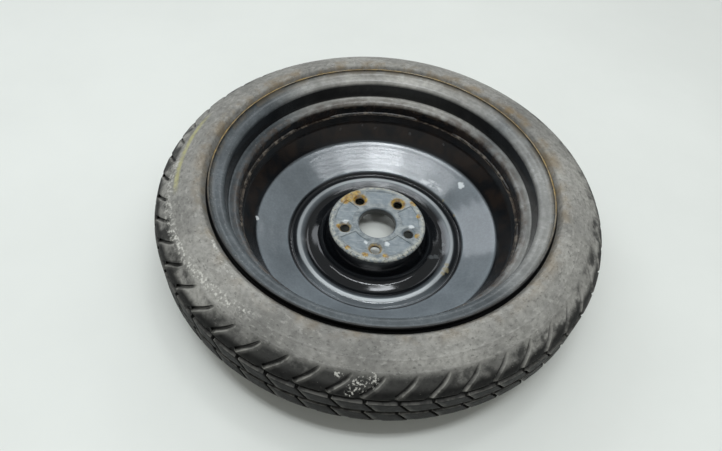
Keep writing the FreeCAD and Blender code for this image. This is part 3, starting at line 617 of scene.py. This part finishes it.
# Corners of the section as (radius, height, round)
SIDE_CORNERS = [(310.5, 25.0, 0), (303.5, 36.0, 20.0), (281.0, 52.5, 60.0), (256.0, 63.0, 25.0),
                (246.0, 61.6, 6.0), (240.6, 53.4, 1.6), (236.6, 50.8, 1.0), (218.3, 50.8, 3.0),
                (216.5, 30.0, 0)]
LINING_CORNERS = [(227.6, 30.0, 0), (245.0, 47.0, 14.0), (256.0, 55.0, 14.0), (273.0, 44.5, 14.0),
                  (298.0, 25.0, 0)]
# Rows of points on the sidewall below the slits, and its mould rings as (radius, width, height)
WALL_START = SLIT_TIP_RADIUS - 0.8
WALL_ROWS = [284.0, 281.0, 278.0, 275.5, 271.5, 269.0, 266.0, 263.0, 260.0, 257.0, 254.5, 249.5, 247.5]
BEAD_START = 247.0
MOULD_RINGS = [(251.5, 1.2, 0.2), (273.5, 1.6, 0.2), (286.0, 1.6, 0.3)]
RING_SHAPE = ((0.75, 0), (0.4, 1), (-0.4, 1), (-0.75, 0))
RING_LEAN = 0.3


def rounded_line(corners, arc_steps):
    """The corners (radius, height, round) of a section joined by straight runs and arcs."""
    points = []
    for i, (radius, height, turn) in enumerate(corners):
        here = Vector((radius, height))
        if not turn:
            points.append(here)
            continue
        back = (Vector(corners[i - 1][:2]) - here).normalized()
        ahead = (Vector(corners[i + 1][:2]) - here).normalized()
        half = back.angle(ahead) / 2
        centre = here + (back + ahead).normalized() * turn / math.sin(half)
        first = here + back * turn / math.tan(half) - centre
        last = here + ahead * turn / math.tan(half) - centre
        points += [centre + first.lerp(last, k / arc_steps).normalized() * turn for k in range(arc_steps + 1)]
    return points


def side_point(line, radius):
    """The point of the sidewall's line at this radius."""
    for first, last in zip(line, line[1:]):
        if last.x <= radius <= first.x and first.x > last.x:
            return first.lerp(last, (first.x - radius) / (first.x - last.x))
    raise ValueError(radius)


def tread_rows():
    """Rows of one half of the tyre's outside, from the middle of the tread to the bead: each is its point,
    the width and depth of the cut that crosses it, and how far the cut has swept round the tread."""
    rows = [((GROOVE_FLOOR, 0.0), GROOVE_STRIP, 0.0, 0.0),
            ((GROOVE_FLOOR, MIDDLE_GROOVE), GROOVE_STRIP, 0.0, RIB_SWEEP)]
    for reach in RIB_ROWS:
        sunk = EDGE_ROUND if reach in (RIB_START, RIB_END) else 0
        sweep = RIB_SWEEP * (1 - 2 * (reach - RIB_START) / (RIB_END - RIB_START))
        rows.append(((TREAD_RADIUS - sunk, reach), RIB_CUT_WIDTH, GROOVE_DEPTH - CUT_STEP - sunk, sweep))
    for reach, sweep in zip(OUTER_GROOVE, (-RIB_SWEEP, -SLIT_SWEEP)):
        rows.append(((GROOVE_FLOOR, reach), GROOVE_STRIP, 0.0, sweep))
    line = rounded_line(SIDE_CORNERS, 14)
    root = side_point(line, SLIT_ROOT_RADIUS)
    slit_length = root.x - SLIT_TIP_RADIUS
    radii = [root.x + SLIT_LEAD] + [root.x - slit_length * k / SLIT_STEPS for k in range(SLIT_STEPS + 1)]
    for k, radius in enumerate(radii):
        t = max(0.0, (k - 1) / SLIT_STEPS)
        point = side_point(line, radius)
        sunk = EDGE_ROUND if k == 0 else 0
        width = SLIT_TIP_WIDTH + SLIT_BELLY * math.sqrt(max(0.0, 1 - t * t))
        depth = (SLIT_DEPTH - SLIT_DEPTH_LOSS * k / SLIT_STEPS) * (1 - t ** 4)
        sweep = SLIT_SWEEP * (2 * t - 1) + SLIT_BOW * 4 * t * (1 - t)
        rows.append(((point.x - sunk, point.y), width, depth, sweep))
    side = [(radius, 0.0) for radius in WALL_ROWS]
    for middle, width, proud in MOULD_RINGS:
        side += [(middle + width * across, proud * share) for across, share in RING_SHAPE]
    for radius, proud in sorted(side, key=lambda row: -row[0]):
        if radius < WALL_START:
            point = side_point(line, radius)
            rows.append(((point.x + proud * RING_LEAN, point.y + proud), WALL_STRIP, 0.0, SLIT_SWEEP))
    for point in rounded_line(SIDE_CORNERS, 4):
        if point.x < BEAD_START:
            rows.append(((point.x, point.y), WALL_STRIP, 0.0, SLIT_SWEEP))
    return rows


def ring_from_section(name, section, steps, angle=2 * math.pi):
    """Spin a closed section of (radius mm, height mm) points round the axle into a mesh object."""
    bpy.ops.object.select_all(action="DESELECT")
    bpy.ops.mesh.primitive_circle_add(vertices=len(section), radius=0.1)
    ring = bpy.context.object
    ring.name = name
    for vertex, (radius, height) in zip(ring.data.vertices, section):
        vertex.co = (radius * MM, 0.0, height * MM)
    bpy.ops.object.mode_set(mode="EDIT")
    bpy.ops.mesh.select_all(action="SELECT")
    bpy.ops.mesh.spin(steps=steps, angle=angle, center=(0, 0, 0), axis=(0, 0, 1))
    bpy.ops.mesh.select_all(action="SELECT")
    bpy.ops.mesh.remove_doubles(threshold=1e-6)
    bpy.ops.object.mode_set(mode="OBJECT")
    return ring


def pick(*pieces):
    """Select these objects alone and make the first one active."""
    bpy.ops.object.select_all(action="DESELECT")
    for piece in pieces:
        piece.select_set(True)
    bpy.context.view_layer.objects.active = pieces[0]


def face_outwards(piece, smooth_angle):
    """Turn every face outwards and shade the piece smooth up to this angle."""
    pick(piece)
    bpy.ops.object.mode_set(mode="EDIT")
    bpy.ops.mesh.select_all(action="SELECT")
    bpy.ops.mesh.normals_make_consistent(inside=False)
    bpy.ops.object.mode_set(mode="OBJECT")
    bpy.ops.object.shade_smooth_by_angle(angle=math.radians(smooth_angle))


def mould_tyre():
    """The tyre with its tread: a spun section whose columns follow the slanted cuts and sink into them."""
    lining = [((point.x, point.y), WALL_STRIP, 0.0, None) for point in rounded_line(LINING_CORNERS, 3)]
    loop = tread_rows() + lining
    for (r, z), width, depth, sweep in reversed(loop[1:]):
        loop.append(((r, -z), width, depth, None if sweep is None else -sweep))
    unswept = [i for i, row in enumerate(loop) if row[3] is None]
    for n, i in enumerate(unswept):
        loop[i] = (*loop[i][:3], SLIT_SWEEP * (1 - 2 * (n + 1) / (len(unswept) + 1)))
    section = [(row[0][0], RIM_CENTRE + row[0][1]) for row in loop]
    tyre = ring_from_section("moulded_tyre", section, PITCHES * COLUMNS)
    rows = KDTree(len(section))
    for i, (r, z) in enumerate(section):
        rows.insert((r, z, 0), i)
    rows.balance()
    cut_depth = [0.0] * len(tyre.data.vertices)
    worn_and_lit_edge = [0.0] * len(tyre.data.vertices)
    grooved = [abs(r - GROOVE_FLOOR) < 0.01 and abs(z - RIM_CENTRE) < GROOVED_REACH for r, z in section]
    crest = [TREAD_RADIUS - 1.0 if low else 0.0 for low in grooved]
    edges_at = (RIB_START, RIB_END, OUTER_EDGE)
    groove_edges = {i for i, (r, z) in enumerate(section)
                    if min(abs(abs(z - RIM_CENTRE) - edge) for edge in edges_at) < 0.3 and r > EDGE_RADIUS}
    for vertex in tyre.data.vertices:
        x, y, z = vertex.co
        radius = math.hypot(x, y) / MM
        row = rows.find((radius, z / MM, 0))[1]
        column = round(math.atan2(y, x) / (PITCH_ANGLE / COLUMNS)) % (PITCHES * COLUMNS)
        pitch, place = divmod(column, COLUMNS)
        width, depth, sweep = loop[row][1:]
        lip = min(LIP_DEPTH, depth)
        edges = [(-width / 2 - STRIP_BEFORE, 0), (-width / 2, lip), (-0.36 * width, depth),
                 (0.06 * width, depth), (width / 2, lip), (width / 2 + STRIP_AFTER, 0)]
        if place < len(edges):
            along, sunk = edges[place]
        else:
            spare = radius * PITCH_ANGLE - width - (STRIP_BEFORE + STRIP_AFTER)
            along = edges[-1][0] + spare * (place - len(edges) + 1) / (COLUMNS - len(edges) + 1)
            sunk = 0
        before, after = section[row - 1], section[(row + 1) % len(section)]
        normal = Vector((after[1] - before[1], before[0] - after[0])).normalized()
        sink_r = radius - normal.x * sunk
        sink_z = section[row][1] - normal.y * sunk
        below_rib = max(0.0, crest[row] - radius - 0.5)
        cut_depth[vertex.index] = max(0.0, sunk - LIP_DEPTH) / GROOVE_DEPTH + below_rib / GROOVE_DEPTH
        # Paler edges: wear on the rib edges, and a painted highlight on the lit side of each cut.
        worn_and_lit = WORN_AND_LIT_COLUMNS.get(place, 0.0) if depth > 1 else 0.0
        if row in groove_edges and not sunk:
            worn_and_lit = max(worn_and_lit, WORN_GROOVE_EDGE)
        worn_and_lit_edge[vertex.index] = worn_and_lit
        turn = pitch * PITCH_ANGLE + (along + sweep) / radius
        vertex.co = (sink_r * math.cos(turn) * MM, sink_r * math.sin(turn) * MM, sink_z * MM)
    for name, values in ((CUT_DEPTH, cut_depth), (WORN_AND_LIT_EDGE, worn_and_lit_edge)):
        tyre.data.attributes.new(name, "FLOAT", "POINT").data.foreach_set("value", values)
    face_outwards(tyre, smooth_angle=38)
    return tyre


# The welds

WELDS = 6
WELD_SPAN = math.radians(42.0)
WELD_STEPS = 84
# How fast the ripples and the slower sway run along a bead, in radians
RIPPLE_RUN = 84
SWAY_RUN = 23
# What a bead keeps of its section: between ripples, what a ripple adds, what the sway takes, and at its ends
RIPPLE_LOW = 0.90
RIPPLE_SIZE = 0.10
SWAY_SIZE = 0.08
END_SIZE = 0.35
END_RATE = 14
# The bead's section as (radius mm, height mm), from its root
WELD_SECTION = [(199.9, 39.6), (199.9, 42.7), (199.1, 42.4), (198.2, 41.8), (197.5, 41.1), (197.0, 40.3),
                (196.75, 39.6)]


def lay_welds():
    """Six fillet beads between the disc's skirt and the well, each laid in overlapping ripples."""
    bead = ring_from_section("weld_beads", WELD_SECTION, WELD_STEPS, WELD_SPAN)
    bpy.ops.object.mode_set(mode="EDIT")
    bpy.ops.mesh.select_all(action="DESELECT")
    bpy.ops.mesh.select_mode(type="EDGE")
    bpy.ops.mesh.select_non_manifold()
    bpy.ops.mesh.fill_holes(sides=len(WELD_SECTION))
    bpy.ops.object.mode_set(mode="OBJECT")
    root = Vector(WELD_SECTION[0])
    for vertex in bead.data.vertices:
        spin = math.atan2(vertex.co.y, vertex.co.x)
        along = abs(spin) / WELD_SPAN
        taper = min(1.0, END_RATE * min(along, 1 - along) + END_SIZE)
        sway = SWAY_SIZE * math.sin(along * SWAY_RUN + 1)
        ripple = RIPPLE_LOW + RIPPLE_SIZE * abs(math.sin(along * RIPPLE_RUN)) - sway
        point = Vector((math.hypot(vertex.co.x, vertex.co.y), vertex.co.z)) / MM
        point = root + (point - root) * min(1.0, taper * ripple)
        vertex.co = (point.x * math.cos(spin) * MM, point.x * math.sin(spin) * MM, point.y * MM)
    copies = []
    for k in range(1, WELDS):
        copy = bead.copy()
        copy.data = bead.data.copy()
        copy.data.transform(Matrix.Rotation(2 * math.pi * k / WELDS, 4, "Z"))
        bpy.context.scene.collection.objects.link(copy)
        copies.append(copy)
    pick(bead, *copies)
    bpy.ops.object.join()
    face_outwards(bead, smooth_angle=50)
    return bead


# The valve's spring


def wind_spring():
    """The core's spring as a piece of its own, merged from its solid's triangles."""
    coil = bpy.data.objects.new("coiled_spring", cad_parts["core_spring"].data.copy())
    bpy.context.scene.collection.objects.link(coil)
    pick(coil)
    bpy.ops.object.mode_set(mode="EDIT")
    bpy.ops.mesh.select_all(action="SELECT")
    bpy.ops.mesh.remove_doubles(threshold=1e-7)
    bpy.ops.object.mode_set(mode="OBJECT")
    bpy.ops.object.shade_smooth_by_angle(angle=math.radians(35))
    return coil


def shorten_with_pin(coil):
    """Give the spring a mesh of its own."""
    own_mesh(coil)


# Putting it together


def place_piece(piece, material, slot, *nodes):
    """Give a modelled piece its finish and its body, in place of the solids that it stands for."""
    piece.data.materials.clear()
    piece.data.materials.append(material)
    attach(piece, "wheel")
    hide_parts(*nodes)


place_piece(mould_tyre(), weathered_tread_rubber(), "tyre_rubber", "tyre")
place_piece(lay_welds(), rusted_weld(), "weld_metal", "disc_welds")
spring = wind_spring()
spring_wire = small_part("drawn_spring_wire", "8e8f8e", "a9a9a6", 0.6, 0.28, metallic=1.0)
place_piece(spring, spring_wire, "spring_steel", "core_spring")
shorten_with_pin(spring)
dress("disc", enamelled_disc())
dress("rim", enamelled_rim())
valve_rubber = small_part("moulded_valve_rubber", "1d1d1d", "2b2b2a", 3.0, 0.5)
turned_brass = small_part("turned_brass", "8f7640", "b39a5c", 2.0, 0.32, metallic=1.0)
seal_rubber = small_part("moulded_seal_rubber", "1b1b1b", "262625", 0.8, 0.55)
for node, material in {
    "valve_rubber": valve_rubber,
    "valve_stem": turned_brass,
    "core_barrel": turned_brass,
    "core_pin": turned_brass,
    "core_pin_seal": seal_rubber,
    "cap_seal": seal_rubber,
    "core_barrel_seal": small_part("moulded_red_seal", "7c1f18", "94291f", 0.8, 0.5),
    "valve_cap": small_part("moulded_black_plastic", "17181a", "232426", 1.5, 0.42),
}.items():
    dress(node, material)
lay_floor()
light_scene()
set_camera()
bpy.context.scene.view_settings.view_transform = "Standard"
